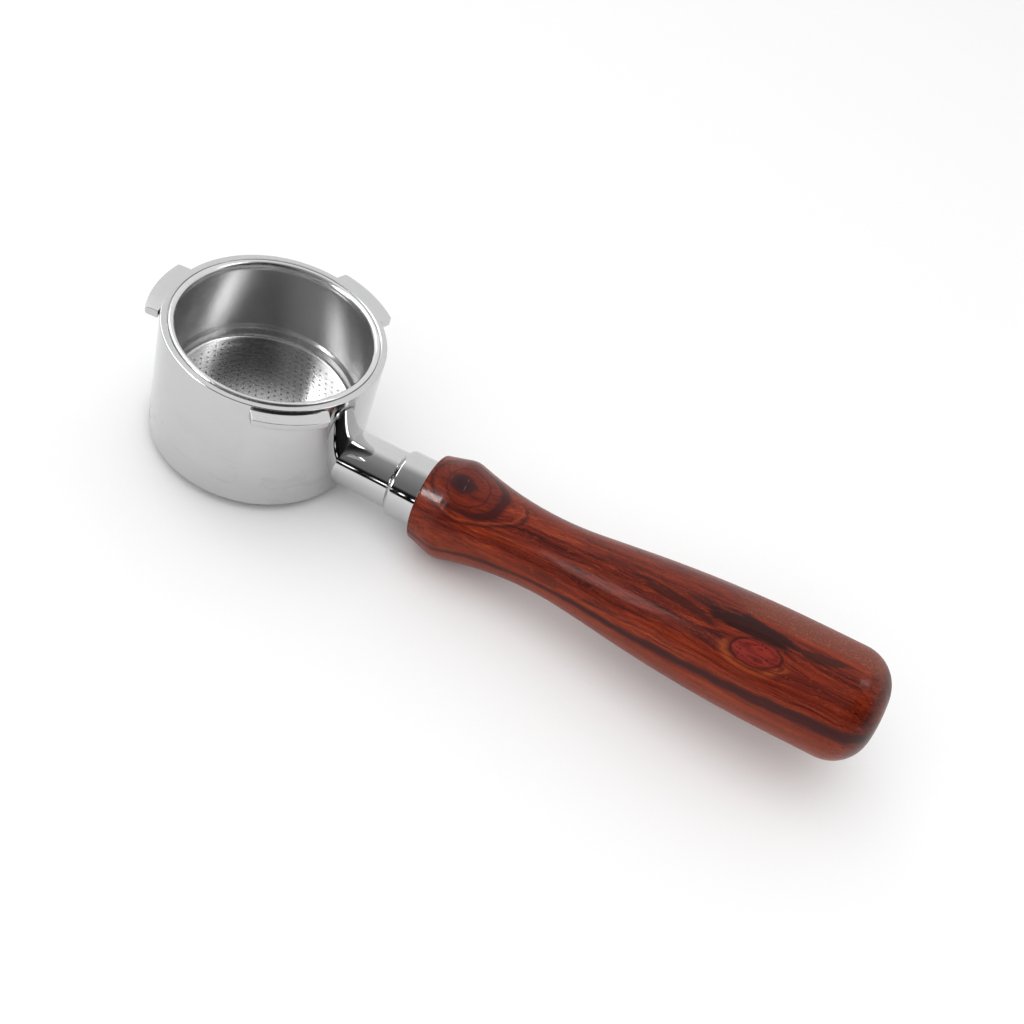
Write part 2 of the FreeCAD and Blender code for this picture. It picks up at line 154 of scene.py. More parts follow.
# ---------------------------------------------------------------- node graphs
class Graph:
    """Short calls that build the nodes of a material or of the world."""

    def __init__(self, tree):
        self.nodes = tree.nodes
        self.links = tree.links
        self.nodes.clear()

    def put(self, socket, given):
        """Set an input from a number, a tuple or another node's output."""
        if isinstance(given, bpy.types.NodeSocket):
            self.links.new(given, socket)
        elif given is not None:
            socket.default_value = given

    def math(self, operation, first, second=None):
        """A Math node; each input is a number or another node's output."""
        node = self.nodes.new("ShaderNodeMath")
        node.operation = operation
        for socket, given in zip(node.inputs, (first, second)):
            self.put(socket, given)
        return node.outputs[0]

    def add(self, *terms):
        total = terms[0]
        for term in terms[1:]:
            total = self.math("ADD", total, term)
        return total

    def mul(self, *terms):
        total = terms[0]
        for term in terms[1:]:
            total = self.math("MULTIPLY", total, term)
        return total

    def sub(self, first, second):
        return self.math("SUBTRACT", first, second)

    def most(self, first, second):
        return self.math("MAXIMUM", first, second)

    def step(self, value, low, high, out_low=0.0, out_high=1.0):
        """Smooth step from out_low at low to out_high at high."""
        node = self.nodes.new("ShaderNodeMapRange")
        node.interpolation_type = "SMOOTHSTEP"
        for name, given in (("Value", value), ("From Min", low), ("From Max", high),
                            ("To Min", out_low), ("To Max", out_high)):
            self.put(node.inputs[name], given)
        return node.outputs[0]

    def line(self, value, centre, half, soft):
        """1 on a line at centre, falling to 0 between half - soft and half + soft from it."""
        away = self.math("ABSOLUTE", self.sub(value, centre))
        return self.step(away, self.sub(half, soft), self.add(half, soft), 1.0, 0.0)

    def oval(self, along, side, centre, size, turn=0.0, power=2.0):
        """Distance from an oval's centre in its own size: 1 on its edge."""
        cosine, sine = math.cos(math.radians(turn)), math.sin(math.radians(turn))
        ahead = self.sub(along, centre[0])
        over = self.sub(side, centre[1])
        long = self.add(self.mul(ahead, cosine / size[0]), self.mul(over, sine / size[0]))
        wide = self.add(self.mul(ahead, -sine / size[1]), self.mul(over, cosine / size[1]))
        total = self.add(*(self.math("POWER", self.math("ABSOLUTE", part), power)
                           for part in (long, wide)))
        return self.math("POWER", total, 1.0 / power)

    def vector(self, x, y, z):
        node = self.nodes.new("ShaderNodeCombineXYZ")
        for socket, given in zip(node.inputs, (x, y, z)):
            self.put(socket, given)
        return node.outputs[0]

    def split(self, vector):
        node = self.nodes.new("ShaderNodeSeparateXYZ")
        self.put(node.inputs[0], vector)
        return node.outputs[0], node.outputs[1], node.outputs[2]

    def scaled(self, vector, factor):
        node = self.nodes.new("ShaderNodeVectorMath")
        node.operation = "MULTIPLY"
        self.put(node.inputs[0], vector)
        self.put(node.inputs[1], factor)
        return node.outputs[0]

    def noise(self, vector, scale, detail, roughness, distortion=0.0):
        node = self.nodes.new("ShaderNodeTexNoise")
        self.put(node.inputs["Vector"], vector)
        self.put(node.inputs["Scale"], scale)
        self.put(node.inputs["Detail"], detail)
        self.put(node.inputs["Roughness"], roughness)
        self.put(node.inputs["Distortion"], distortion)
        return node.outputs[0]

    def cells(self, vector):
        node = self.nodes.new("ShaderNodeTexVoronoi")
        self.put(node.inputs["Vector"], vector)
        self.put(node.inputs["Scale"], 1.0)
        return node.outputs["Distance"]

    def ramp(self, value, stops):
        node = self.nodes.new("ShaderNodeValToRGB")
        node.color_ramp.interpolation = "EASE"
        elements = node.color_ramp.elements
        while len(elements) > 1:
            elements.remove(elements[-1])
        elements[0].position, first = stops[0]
        elements[0].color = (*first, 1.0)
        for position, colour in stops[1:]:
            elements.new(position).color = (*colour, 1.0)
        self.put(node.inputs[0], value)
        return node.outputs[0]

    def mix(self, factor, first, second):
        """Two colours, each a tuple or an output, mixed by a factor."""
        node = self.nodes.new("ShaderNodeMix")
        node.data_type = "RGBA"
        first_colour, second_colour, mixed = node.inputs[6], node.inputs[7], node.outputs[2]
        self.put(node.inputs[0], factor)
        for socket, given in ((first_colour, first), (second_colour, second)):
            self.put(socket, given if isinstance(given, bpy.types.NodeSocket) else (*given, 1.0))
        return mixed

    def bump(self, height, distance):
        node = self.nodes.new("ShaderNodeBump")
        self.put(node.inputs["Height"], height)
        self.put(node.inputs["Distance"], distance)
        self.put(node.inputs["Strength"], 1.0)
        return node.outputs[0]

    def place(self):
        """The point being shaded, in the object's frame, in millimetres."""
        point = self.nodes.new("ShaderNodeTexCoord").outputs["Object"]
        return self.scaled(point, (1 / MM, 1 / MM, 1 / MM))

    def on_axis(self):
        """The point along the handle axis, across it and out from it, in millimetres."""
        mapping = self.nodes.new("ShaderNodeMapping")
        mapping.vector_type = "TEXTURE"
        self.put(mapping.inputs["Vector"], self.nodes.new("ShaderNodeTexCoord").outputs["Object"])
        mapping.inputs["Location"].default_value = AXIS_FOOT
        mapping.inputs["Rotation"].default_value = (GRAIN_TURN, -TILT, 0.0)
        return self.scaled(mapping.outputs[0], (1 / MM, 1 / MM, 1 / MM))


class Paint(Graph):
    """The graph of one material, closed by a Principled shader."""

    def __init__(self, name):
        self.material = bpy.data.materials.new(name)
        self.material.use_nodes = True
        super().__init__(self.material.node_tree)

    def finish(self, **inputs):
        shader = self.nodes.new("ShaderNodeBsdfPrincipled")
        for name, given in inputs.items():
            self.put(shader.inputs[name.replace("_", " ")], given)
        output = self.nodes.new("ShaderNodeOutputMaterial")
        self.links.new(shader.outputs[0], output.inputs[0])
        return self.material


def srgb(red, green, blue):
    """A display colour, 0 to 255 a channel, as linear values."""
    def linear(level):
        level = level / 255.0
        return level / 12.92 if level <= 0.04045 else ((level + 0.055) / 1.055) ** 2.4
    return tuple(linear(level) for level in (red, green, blue))


# ---------------------------------------------------------------- materials
def darker(colour, share):
    """A colour at a share of its brightness."""
    return tuple(share * channel for channel in colour)


def polished_steel(name, tint=(0.57, 0.57, 0.575)):
    """Mirror-polished steel with faint smudges and hair-fine wipe marks."""
    g = Paint(name)
    place = g.place()
    height = g.split(place)[2]
    smudge = g.noise(place, 0.07, 4.0, 0.6, 0.8)
    wipe = g.noise(g.scaled(place, (1.0, 1.0, 9.0)), 0.9, 3.0, 0.6)
    # Finger marks low on the ring, and a duller finish on the lugs and the rim, which rub.
    marks_end, marks_full = 22.0, 8.0
    finger = g.noise(g.scaled(place, (0.07, 0.07, 0.16)), 1.0, 6.0, 0.72, 1.2)
    stain = g.mul(g.step(finger, 0.52, 0.66), g.step(height, marks_end, marks_full))
    scratch = g.step(g.noise(g.scaled(place, (0.5, 7.0, 3.0)), 1.0, 2.0, 0.5), 0.6, 0.72)
    rubbed_from, rubbed_full = 35.6, 36.2
    rubbed = g.step(height, rubbed_from, rubbed_full)
    rough = g.add(g.step(smudge, 0.45, 0.75, 0.03, 0.1), g.mul(wipe, 0.03), g.mul(stain, 0.14),
                  g.mul(rubbed, 0.1), g.mul(rubbed, scratch, 0.12))
    colour = g.mix(g.step(smudge, 0.35, 0.8), tint, darker(tint, 0.95))
    colour = g.mix(g.mul(stain, 0.5), colour, darker(tint, 0.8))
    wipe_depth = 0.0006 * MM
    return g.finish(Base_Color=colour, Metallic=1.0, Roughness=rough,
                    Normal=g.bump(wipe, wipe_depth))


def satin_steel(name, tint=(0.68, 0.68, 0.68)):
    """Drawn basket sheet, satin: fine marks run around, so its glints stretch up the wall."""
    g = Paint(name)
    x, y, z = g.split(g.place())
    radius = g.math("SQRT", g.add(g.mul(x, x), g.mul(y, y)))
    angle = g.math("ARCTAN2", y, x)
    on_wall = g.step(z, FLOOR_HEIGHT + 0.3, FLOOR_HEIGHT + 1.2)
    around = g.noise(g.vector(g.mul(angle, 1.5), g.mul(z, 9.0), g.mul(radius, 5.0)), 1.0, 3.0, 0.7)
    down = g.mul(g.noise(g.vector(g.mul(angle, 26.0), g.mul(z, 0.1), 0.0), 1.0, 3.0, 0.6), on_wall)
    rough = g.add(0.24, g.mul(around, 0.06), g.mul(down, 0.04), g.mul(on_wall, -0.03))
    marks = g.nodes.new("ShaderNodeTangent")
    marks.direction_type = "RADIAL"
    marks.axis = "Z"
    marks_depth = 0.0005 * MM
    relief = g.mul(g.add(around, g.mul(down, 0.8)), on_wall)
    return g.finish(Base_Color=g.mix(down, tint, darker(tint, 0.88)), Metallic=1.0,
                    Roughness=rough, Anisotropic=g.mul(on_wall, 0.75),
                    Anisotropic_Rotation=0.25, Tangent=marks.outputs[0],
                    Normal=g.bump(relief, marks_depth))


def plain_metal(name, tint, roughness):
    """Machined or drawn metal with fine turning marks."""
    g = Paint(name)
    marks = g.noise(g.scaled(g.place(), (6.0, 0.6, 0.6)), 1.0, 3.0, 0.6)
    marks_depth = 0.003 * MM
    return g.finish(Base_Color=g.mix(marks, tint, darker(tint, 0.8)), Metallic=1.0,
                    Roughness=g.add(roughness, g.mul(marks, 0.12)),
                    Normal=g.bump(marks, marks_depth))


class Wood(Paint):
    """The handle's wood: grain, two knots, dark streaks, dusty sapwood and a long dark band.

    along, up and out run on the handle's axis, across it and out from it; side is the distance
    round the handle from its front line. All four are in millimetres.
    """

    plum = srgb(54, 15, 16)
    ink = srgb(34, 13, 13)

    def __init__(self, name):
        super().__init__(name)
        self.point = self.on_axis()
        self.along, self.up, self.out = self.split(self.point)
        self.side = self.mul(self.math("ARCTAN2", self.up, self.out), MARK_RADIUS)
        # A slow and a quick wave keep the marks from being drawn too straight.
        self.wander = self.wave((1 / 9, 1 / 5, 1 / 5))
        self.ripple = self.wave((1 / 3, 1 / 1.2, 1 / 1.2))
        self.wavy_along = self.add(self.along, self.mul(self.wander, 2.4),
                                   self.mul(self.ripple, 1.4))
        self.wavy_side = self.add(self.side, self.mul(self.wander, -1.8),
                                  self.mul(self.ripple, 0.9))
        ragged = self.noise(self.scaled(self.point, (0.12, 0.5, 0.5)), 1.0, 3.0, 0.6)
        self.patch = self.sub(ragged, 0.5)
        # The grain swerves round the knots.
        near_front = self.nearness((69.0, 9.0), (13.0, 9.0))
        near_rear = self.nearness((157.0, 1.3), (11.0, 6.0))
        over_rear = self.math("TANH", self.mul(self.sub(self.side, 1.3), 0.4))
        swerve = self.mul(near_rear, 4.0, over_rear)
        self.level = self.add(self.up, self.mul(self.wander, 1.8), self.mul(near_front, 6.0),
                              self.mul(swerve, -1.0))

    def wave(self, scale):
        return self.sub(self.noise(self.scaled(self.point, scale), 1.0, 2.0, 0.5), 0.5)

    def nearness(self, centre, reach):
        """1 at the centre, fading away beyond the reach."""
        far = self.oval(self.along, self.side, centre, reach)
        return self.math("EXPONENT", self.mul(-1.0, self.math("POWER", far, 2.0)))

    def fibres(self, lengthwise, across, outwards, detail, roughness):
        """Noise drawn out along the grain."""
        drawn = self.vector(self.mul(self.along, lengthwise), self.mul(self.level, across),
                            self.mul(self.out, outwards))
        return self.noise(drawn, 1.0, detail, roughness)

    def mark(self, centre, size, turn=0.0, power=2.0):
        """Distance from a wavy oval's centre in its own size."""
        return self.oval(self.wavy_along, self.wavy_side, centre, size, turn, power)

    def lay(self, cover, colour):
        """Cover what is painted so far with a colour."""
        self.colour = self.mix(cover, self.colour, colour)

    def lay_grain(self):
        broad = self.fibres(0.012, 0.16, 0.1, 3.0, 0.6)
        self.streak = self.fibres(0.022, 0.9, 0.5, 3.0, 0.6)
        self.fine = self.fibres(0.07, 3.4, 1.6, 2.0, 0.6)
        tone = self.add(self.mul(broad, 0.35), self.mul(self.streak, 0.4),
                        self.mul(self.fine, 0.25))
        self.colour = self.ramp(tone, [
            (0.37, srgb(56, 11, 6)),
            (0.45, srgb(92, 24, 10)),
            (0.53, srgb(122, 38, 14)),
            (0.63, srgb(154, 62, 23)),
        ])
        # The wood is more orange below its front line. Above it, a browner tint is painted in for the grey-brown
        # sheen that the room's reflection gives the upper side.
        self.lay(self.step(self.side, -4.0, -16.0, 0.0, 0.5), srgb(138, 54, 22))
        self.lay(self.step(self.side, 4.0, 20.0, 0.0, 0.5), srgb(96, 38, 28))
        dark_line = self.step(self.fibres(0.03, 1.9, 0.9, 2.0, 0.5), 0.58, 0.7)
        self.lay(self.mul(dark_line, 0.65), srgb(54, 12, 8))
        self.pore = self.step(self.fibres(0.5, 5.5, 3.5, 1.0, 0.5), 0.63, 0.72)
        self.lay(self.mul(self.pore, 0.55), srgb(46, 13, 9))
        fleck = self.step(self.fibres(0.7, 4.5, 4.5, 1.0, 0.5), 0.62, 0.72)
        self.lay(self.mul(fleck, 0.35), srgb(160, 76, 34))

    def lay_front_knot(self):
        """A dark core, a thin inner ring, a thick ring and a thin outer one."""
        core = self.mark(FRONT_CORE, (3.7, 3.1), 20.0)
        inner = self.mark((68.3, 8.5), (6.0, 6.7))
        ring = self.mark(FRONT_KNOT, (10.4, 9.4), power=2.3)
        outer = self.mark((69.0, 9.4), (16.6, 11.8), power=1.6)
        self.lay(self.step(ring, 1.0, 0.9, 0.0, 0.45), srgb(80, 21, 14))
        self.lay(self.mul(self.line(inner, 1.0, 0.04, 0.05), 0.7), self.plum)
        thick = self.add(0.05, self.mul(self.step(self.along, 67.0, 77.0), 0.08))
        self.lay(self.mul(self.line(ring, 1.0, thick, 0.06), 0.9), self.plum)
        below_top = self.step(self.side, 15.0, 12.0)
        self.lay(self.mul(self.line(outer, 0.95, 0.015, 0.03), below_top, 0.55), srgb(146, 68, 38))
        self.lay(self.mul(self.line(outer, 1.03, 0.03, 0.035), below_top, 0.75), self.plum)
        self.lay(self.step(core, 1.25, 0.75), srgb(58, 21, 23))
        self.lay(self.step(core, 0.75, 0.3), srgb(46, 20, 26))
        leaning = self.add(self.along, self.mul(self.side, 0.1))
        scratch = self.mul(self.line(leaning, 68.4, 0.1, 0.12), self.line(self.side, 8.3, 2.0, 0.4),
                           self.step(self.ripple, -0.12, 0.05))
        self.lay(self.mul(scratch, 0.6), srgb(128, 90, 80))

    def lay_rear_knot(self):
        """A reddish oval with dark dots, a dark outline above and an orange swirl below."""
        eye = self.mark(REAR_KNOT, (6.4, 3.2), 8.0)
        sloping = self.sub(self.side, self.mul(self.sub(self.along, REAR_KNOT[0]), 0.12))
        above = self.step(sloping, -2.6, 0.5)
        swirl = self.mul(self.line(eye, 1.38, 0.16, 0.2), self.step(self.side, 3.0, -0.5),
                         self.step(self.fine, 0.3, 0.6), 0.7)
        self.lay(swirl, srgb(160, 74, 30))
        flesh = self.mix(self.step(self.fine, 0.35, 0.62), srgb(96, 22, 17), srgb(132, 38, 27))
        self.lay(self.step(eye, 1.05, 0.85), flesh)
        cell = self.cells(self.vector(self.mul(self.along, 0.95), self.mul(self.side, 0.95), 0.0))
        dots = self.mul(self.step(cell, 0.34, 0.14), self.step(eye, 0.95, 0.8))
        self.lay(self.mul(dots, 0.8), srgb(48, 8, 10))
        outline = self.mul(self.line(eye, 1.05, 0.06, 0.07), self.add(0.25, self.mul(above, 0.65)))
        self.lay(outline, self.plum)

    def lay_streaks(self):
        """Near-black streaks above the rear knot, ragged at their edges."""
        for centre, size, turn, cover, shade in (
                ((131.0, 5.7), (15.0, 1.5), -9.0, 0.75, srgb(46, 15, 13)),
                ((151.5, 7.0), (14.5, 3.0), -2.0, 0.9, self.ink),
                ((173.5, 7.6), (8.5, 1.3), 9.0, 0.8, srgb(52, 20, 16))):
            ragged = self.add(self.mark(centre, size, turn, 1.7), self.mul(self.patch, 1.6))
            self.lay(self.mul(self.step(ragged, 1.15, 0.75), cover), shade)

    def lay_dust(self):
        """Dusty, speckled sapwood at the upper rear."""
        upper = self.step(self.add(self.side, self.mul(self.patch, 4.0)), 9.6, 12.0)
        rear = self.step(self.add(self.along, self.mul(self.patch, 30.0)), 143.0, 157.0)
        self.dusty = self.mul(upper, rear)
        self.lay(self.mul(self.dusty, 0.7), srgb(116, 60, 46))
        grain = self.noise(self.scaled(self.point, (2.2, 2.2, 2.2)), 1.0, 2.0, 0.6)
        self.speck = self.step(grain, 0.58, 0.7)
        self.lay(self.mul(self.dusty, self.speck, 0.6), srgb(164, 106, 84))

    def lay_band(self):
        """The long dark band below, which closes in on the ridge at both ends."""
        to_rear = self.mul(self.math("MAXIMUM", self.sub(190.0, self.along), 0.0), 1 / 122)
        middle = self.sub(-8.0, self.mul(self.math("POWER", to_rear, 1.3), 6.5))
        half = self.step(self.along, 70.0, 175.0, 0.9, 1.7)
        wavy = self.add(self.side, self.mul(self.wander, 2.2), self.mul(self.ripple, 0.5))
        band = self.mul(self.line(wavy, middle, half, 0.9), self.step(self.up, 8.0, 2.0),
                        self.step(self.streak, 0.25, 0.5, 0.6, 0.95))
        self.lay(band, self.plum)

    def lay_painted_end_shade(self):
        """Painted shade darkens the butt's corner, which turns away from the light, and the first edge by the
        collar, between the wood and the collar.
        """
        end_shade = self.most(self.step(self.along, 186.5, 190.5), self.step(self.along, 57.4, 56.6))
        self.lay(self.mul(end_shade, 0.55), srgb(44, 18, 17))


def hardwood(name):
    """Oiled, rosewood-like hardwood."""
    g = Wood(name)
    g.lay_grain()
    g.lay_front_knot()
    g.lay_rear_knot()
    g.lay_streaks()
    g.lay_dust()
    g.lay_band()
    g.lay_painted_end_shade()
    relief = g.add(g.mul(g.fine, 0.5), g.mul(g.pore, -1.0), g.mul(g.dusty, g.speck, 0.6))
    rough = g.add(0.3, g.mul(g.pore, 0.2), g.mul(g.dusty, 0.16), g.mul(g.streak, 0.06))
    pore_depth = 0.012 * MM
    return g.finish(Base_Color=g.colour, Roughness=rough, Specular_IOR_Level=0.14,
                    Coat_Weight=0.12, Coat_Roughness=0.1, Normal=g.bump(relief, pore_depth))


# ---------------------------------------------------------------- turned and cut meshes
AROUND = 288
SHARP_EDGE = math.radians(32)


def rounded(corners, closed=True, steps=6):
    """The points of an outline whose corners (x, y, radius) are rounded."""
    points = []
    count = len(corners)
    for i, (x, y, radius) in enumerate(corners):
        here = Vector((x, y))
        if radius <= 0.0 or (not closed and i in (0, count - 1)):
            points.append(here)
            continue
        before = (Vector(corners[i - 1][:2]) - here).normalized()
        after = (Vector(corners[(i + 1) % count][:2]) - here).normalized()
        half = before.angle(after) / 2
        start = here + before * (radius / math.tan(half))
        centre = here + (before + after).normalized() * (radius / math.sin(half))
        first = start - centre
        sweep = math.pi - 2 * half
        turn = 1.0 if before.x * after.y - before.y * after.x < 0 else -1.0
        for k in range(steps + 1):
            angle = turn * sweep * k / steps
            cosine, sine = math.cos(angle), math.sin(angle)
            points.append(centre + Vector((first.x * cosine - first.y * sine,
                                           first.x * sine + first.y * cosine)))
    return points


def lathe(outline, closed=True):
    """Vertices and faces of an outline of (radius, height) turned about Z."""
    vertices, faces = [], []
    rows = len(outline)
    for k in range(AROUND):
        cosine = math.cos(2 * math.pi * k / AROUND)
        sine = math.sin(2 * math.pi * k / AROUND)
        vertices += [(p[0] * cosine, p[0] * sine, p[1]) for p in outline]
    for k in range(AROUND):
        here, there = k * rows, (k + 1) % AROUND * rows
        for i in range(rows if closed else rows - 1):
            j = (i + 1) % rows
            faces.append((here + i, there + i, there + j, here + j))
    return vertices, faces


def joined(*shells):
    """Several (vertices, faces) pairs as one."""
    vertices, faces = [], []
    for shell_vertices, shell_faces in shells:
        start = len(vertices)
        vertices += shell_vertices
        faces += [tuple(start + i for i in face) for face in shell_faces]
    return vertices, faces


def make_piece(name, shell, node, body, material, on_handle=False):
    """A shown mesh, given in millimetres, that stands for one CAD node."""
    vertices, faces = shell
    mesh = bpy.data.meshes.new(name)
    mesh.from_pydata([Vector(v) * MM for v in vertices], [], faces)
    mesh.validate()
    if on_handle:
        lean = Matrix.Rotation(math.pi / 2 - TILT, 4, "Y")
        mesh.transform(Matrix.Translation(AXIS_FOOT) @ lean)
    mesh.shade_smooth()
    mesh.set_sharp_from_angle(angle=SHARP_EDGE)
    mesh.materials.append(material)
    piece = bpy.data.objects.new(name, mesh)
    bpy.context.scene.collection.objects.link(piece)
    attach(piece, body)
    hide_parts(node)


def ring_shell():
    """The ring's wall, turned, with the slope of its rim, the seat and the groove."""
    ease_width, ease_radius = 1.05, 3.0
    ease_drop = ease_radius - math.sqrt(ease_radius ** 2 - ease_width ** 2)
    ease_half_angle = math.asin(ease_width / ease_radius) / 2
    ease_bend = SEAT_RADIUS + ease_width - ease_radius * math.tan(ease_half_angle)
    seat = RING_HEIGHT - SEAT_DEPTH
    return lathe(rounded([
        (RING_BORE, 0.0, 0.5),
        (RING_FOOT_RADIUS, 0.0, 0.5),
        (RING_TOP_RADIUS, RING_HEIGHT, 0.3),
        (ease_bend, RING_HEIGHT, 2.6),
        (SEAT_RADIUS, RING_HEIGHT - ease_drop, 0.08),
        (SEAT_RADIUS, seat, 0.0),
        (RING_BORE, seat, 0.1),
        (RING_BORE, GROOVE_MIDDLE + GROOVE_HALF, 0.1),
        (GROOVE_RADIUS, GROOVE_MIDDLE + GROOVE_HALF, 0.0),
        (GROOVE_RADIUS, GROOVE_MIDDLE - GROOVE_HALF, 0.0),
        (RING_BORE, GROOVE_MIDDLE - GROOVE_HALF, 0.1),
    ]))


def lug_plan():
    """A lug's outline seen from above: parallel sides, an arc in front, small corners."""
    reach = LUG_RADIUS - LUG_CORNER
    end = math.asin((LUG_HALF_WIDTH - LUG_CORNER) / reach)
    pivot = Vector((reach * math.cos(end), -(LUG_HALF_WIDTH - LUG_CORNER)))
    corner_steps, arc_steps = 6, 24
    plan = [Vector((LUG_ROOT, -LUG_HALF_WIDTH))]
    for k in range(corner_steps):
        angle = -math.pi / 2 + (math.pi / 2 - end) * k / corner_steps
        plan.append(pivot + LUG_CORNER * Vector((math.cos(angle), math.sin(angle))))
    for k in range(arc_steps + 1):
        angle = -end + 2 * end * k / arc_steps
        plan.append(LUG_RADIUS * Vector((math.cos(angle), math.sin(angle))))
    pivot = Vector((pivot.x, -pivot.y))
    for k in range(corner_steps - 1, -1, -1):
        angle = math.pi / 2 - (math.pi / 2 - end) * k / corner_steps
        plan.append(pivot + LUG_CORNER * Vector((math.cos(angle), math.sin(angle))))
    plan.append(Vector((LUG_ROOT, LUG_HALF_WIDTH)))
    return plan


def stacked(rows, count):
    """The faces between rows of count points each, closed below and above."""
    faces = []
    for row in range(rows - 1):
        for i in range(count):
            j = (i + 1) % count
            low = row * count
            faces.append((low + i, low + j, low + count + j, low + count + i))
    faces.append(tuple(reversed(range(count))))
    last = (rows - 1) * count
    faces.append(tuple(range(last, last + count)))
    return faces


def lug_shell(phase):
    """One parallel-sided lug, rounded below and eased at its upper edge."""
    below, above, edge_steps = 0.8, 0.15, 6
    levels = []
    for k in range(edge_steps + 1):
        angle = math.pi / 2 * k / edge_steps
        rise, inset = below * (1 - math.cos(angle)), below * (1 - math.sin(angle))
        levels.append((LUG_FOOT + rise, inset, 0.0))
    for k in range(edge_steps + 1):
        angle = math.pi / 2 * k / edge_steps
        inset = above * (1 - math.cos(angle))
        levels.append((LUG_TOP - above * (1 - math.sin(angle)), inset, inset))
    plan = lug_plan()
    turn = Matrix.Rotation(math.radians(phase), 2)
    vertices = []
    for height, shorter, narrower in levels:
        thin = (LUG_HALF_WIDTH - narrower) / LUG_HALF_WIDTH
        for spot in plan:
            near = min(1.0, (LUG_RADIUS - shorter) / spot.length)
            placed = turn @ Vector((spot.x * near, spot.y * near * thin))
            vertices.append((placed.x, placed.y, height))
    return vertices, stacked(len(levels), len(plan))


def basket_shell():
    """The basket's wall: floor corner, shoulder, bead, rolled lip and the outside."""
    seat = RING_HEIGHT - SEAT_DEPTH
    outer_radius, outer_foot = BASKET_RADIUS + SHEET, BASKET_FOOT_RADIUS + SHEET
    shoulder, drop = 15.2, 1.0
    bead_half, bead_depth, bead_steps, bead_gap = 0.7, 0.22, 8, 0.02
    dents = []
    for k in range(bead_steps + 1):
        across = -1 + 2 * k / bead_steps
        dents.append((GROOVE_MIDDLE + bead_half * across, bead_depth * (1 - across ** 2)))
    bead_foot, bead_top = dents[0][0], dents[-1][0]
    outline = rounded([
        (PIERCED_RADIUS, FLOOR_HEIGHT, 0.0),
        (BASKET_FOOT_RADIUS, FLOOR_HEIGHT, 1.0),
        (BASKET_FOOT_RADIUS, shoulder - drop, 0.5),
        (BASKET_RADIUS, shoulder, 0.5),
        (BASKET_RADIUS, bead_foot, 0.0),
    ], closed=False)
    outline += [Vector((BASKET_RADIUS - dent, height)) for height, dent in dents[1:]]
    outline += rounded([
        (BASKET_RADIUS, bead_top + bead_gap, 0.0),
        (BASKET_RADIUS, LIP_TOP, 1.2),
        (LIP_RADIUS, LIP_TOP, 0.6),
        (LIP_RADIUS, seat, 0.0),
        (outer_radius, seat, 0.0),
        (outer_radius, bead_top, 0.0),
    ], closed=False)
    outline += [Vector((outer_radius - dent, height)) for height, dent in dents[-2::-1]]
    outline += rounded([
        (outer_radius, bead_foot - bead_gap, 0.0),
        (outer_radius, shoulder, 0.5),
        (outer_foot, shoulder - drop, 0.5),
        (outer_foot, FLOOR_HEIGHT - SHEET, 1.6),
        (PIERCED_RADIUS, FLOOR_HEIGHT - SHEET, 0.0),
    ], closed=False)
    return lathe(outline, closed=False)


def hole_centres():
    """The middles of the staggered holes, by their half-column and row."""
    centres = {}
    rows = int(HOLE_FIELD / HOLE_ROW_STEP)
    columns = int(HOLE_FIELD / HOLE_PITCH) + 1
    for row in range(-rows, rows + 1):
        odd = row % 2
        for column in range(-columns, columns + 1):
            centre = Vector((column * HOLE_PITCH + odd * HOLE_PITCH / 2, row * HOLE_ROW_STEP))
            if centre.length <= HOLE_FIELD:
                centres[2 * column + odd, row] = centre
    return centres


def in_a_hole(spot, centres):
    """Whether a spot on the floor lies inside one of the holes."""
    nearest_row = round(spot.y / HOLE_ROW_STEP)
    for row in (nearest_row - 1, nearest_row, nearest_row + 1):
        odd = row % 2
        half_column = 2 * round((spot.x / HOLE_PITCH * 2 - odd) / 2) + odd
        centre = centres.get((half_column, row))
        if centre is not None and (spot - centre).length < HOLE_RADIUS * 0.98:
            return True
    return False


def circle(centre, radius, count):
    """Points spread evenly round a circle."""
    return [centre + radius * Vector((math.cos(2 * math.pi * k / count),
                                      math.sin(2 * math.pi * k / count))) for k in range(count)]


def pierced_floor():
    """The basket's flat floor with its staggered holes, both faces and every hole's wall."""
    spots = circle(Vector((0.0, 0.0)), PIERCED_RADIUS, AROUND)
    edges = [(k, (k + 1) % AROUND) for k in range(AROUND)]
    centres = hole_centres()
    loops = []
    for centre in centres.values():
        start = len(spots)
        loops.append(range(start, start + HOLE_SIDES))
        spots += circle(centre, HOLE_RADIUS, HOLE_SIDES)
        edges += [(start + k, start + (k + 1) % HOLE_SIDES) for k in range(HOLE_SIDES)]
    flat, _, triangles, sources, _, _ = delaunay_2d_cdt(spots, edges, [], 0, 1e-5)
    found = {source: index for index, given in enumerate(sources) for source in given}
    vertices = [(p.x, p.y, FLOOR_HEIGHT) for p in flat]
    vertices += [(p.x, p.y, FLOOR_HEIGHT - SHEET) for p in flat]
    under = len(flat)
    faces = []
    for triangle in triangles:
        a, b, c = (flat[i] for i in triangle)
        if in_a_hole((a + b + c) / 3, centres):
            continue
        upward = (b - a).x * (c - a).y - (b - a).y * (c - a).x > 0
        top = tuple(triangle) if upward else tuple(reversed(triangle))
        faces.append(top)
        faces.append(tuple(under + i for i in reversed(top)))
    for loop in loops:
        ring = [found[i] for i in loop]
        for k, here in enumerate(ring):
            there = ring[(k + 1) % HOLE_SIDES]
            faces.append((here, there, under + there, under + here))
    return vertices, faces


def neck_shell():
    """The neck, from inside the ring's wall to its chamfered end, open at the stud."""
    return lathe(rounded([
        (NECK_BORE, NECK_START, 0.0),
        (NECK_RADIUS, NECK_START, 0.0),
        (NECK_RADIUS, NECK_END, 0.5),
        (NECK_BORE, NECK_END, 0.0),
    ]))


